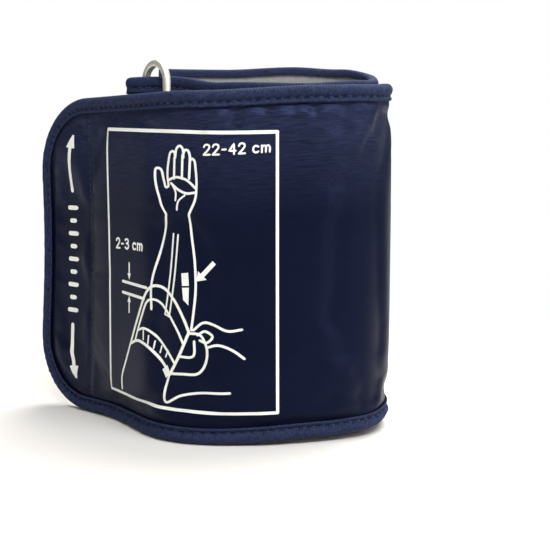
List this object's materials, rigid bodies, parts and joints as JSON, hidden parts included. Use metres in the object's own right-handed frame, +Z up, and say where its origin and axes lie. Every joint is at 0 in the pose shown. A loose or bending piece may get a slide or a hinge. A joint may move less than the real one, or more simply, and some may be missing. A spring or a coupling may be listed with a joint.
{
  "type": "blood pressure cuff",
  "caption": "Upper-arm blood pressure cuff rolled for storage: navy fabric strip wound through a metal slide ring, with a rounded free flap, grey lining and a rear air port.",
  "frame": {"origin": "middle of the footprint, on the surface that the rolled cuff stands on", "axes": "+Z up along the arm opening, the printed flap faces -Y with its free end towards -X, and the air port points to +Y"},
  "size_m": [0.1696, 0.0804, 0.1655],
  "materials": {
    "navy_nylon": "coated plain-weave nylon, faint sheen",
    "navy_tape": "woven binding tape, matt",
    "navy_pile": "brushed loop pile, matt",
    "hook_tape": "dense nylon hooks",
    "grey_lining": "soft brushed polyester",
    "blue_thread": "twisted polyester thread",
    "white_print": "screen-printed ink, matt",
    "bladder_film": "thin smooth sheet",
    "port_plastic": "moulded, fine matt",
    "grommet_rubber": "moulded, matt",
    "ring_nickel": "polished nickel plate over steel wire"
  },
  "bodies": {
    "wrap": {"wrap_pile_panel": "navy_pile", "fold_panel": "navy_nylon", "wrap_lining": "grey_lining", "layer_seam": "blue_thread", "bladder_outer_sheet": "bladder_film", "bladder_inner_sheet": "bladder_film", "bladder_port": "port_plastic", "port_grommet": "grommet_rubber", "wrap_binding_top": "navy_tape", "wrap_binding_bottom": "navy_tape", "wrap_stitching_top": "blue_thread", "wrap_stitching_bottom": "blue_thread", "ring_hem": "navy_nylon", "hem_tail": "navy_nylon", "hem_stitching": "blue_thread"},
    "flap": {"flap_panel": "navy_nylon", "flap_lining": "grey_lining", "flap_binding": "navy_tape", "flap_stitching": "blue_thread", "hook_pad": "hook_tape", "hook_stitching": "blue_thread", "index_seam": "blue_thread", "print_frame": "white_print", "index_arrow_up": "white_print", "index_arrow_down": "white_print"},
    "ring": {"d_ring": "ring_nickel"}
  },
  "joints": [
    {"name": "flap_open", "type": "hinge", "parent": "wrap", "child": "flap", "pos_m": [0.07522, -0.02996, 0.075], "axis": [0, 0, 1], "range_deg": [0, 110]},
    {"name": "ring_swing", "type": "hinge", "parent": "wrap", "child": "ring", "pos_m": [-0.02676, 0.00203, 0.0835], "axis": [0, 0, 1], "range_deg": [-20, 0]}
  ]
}
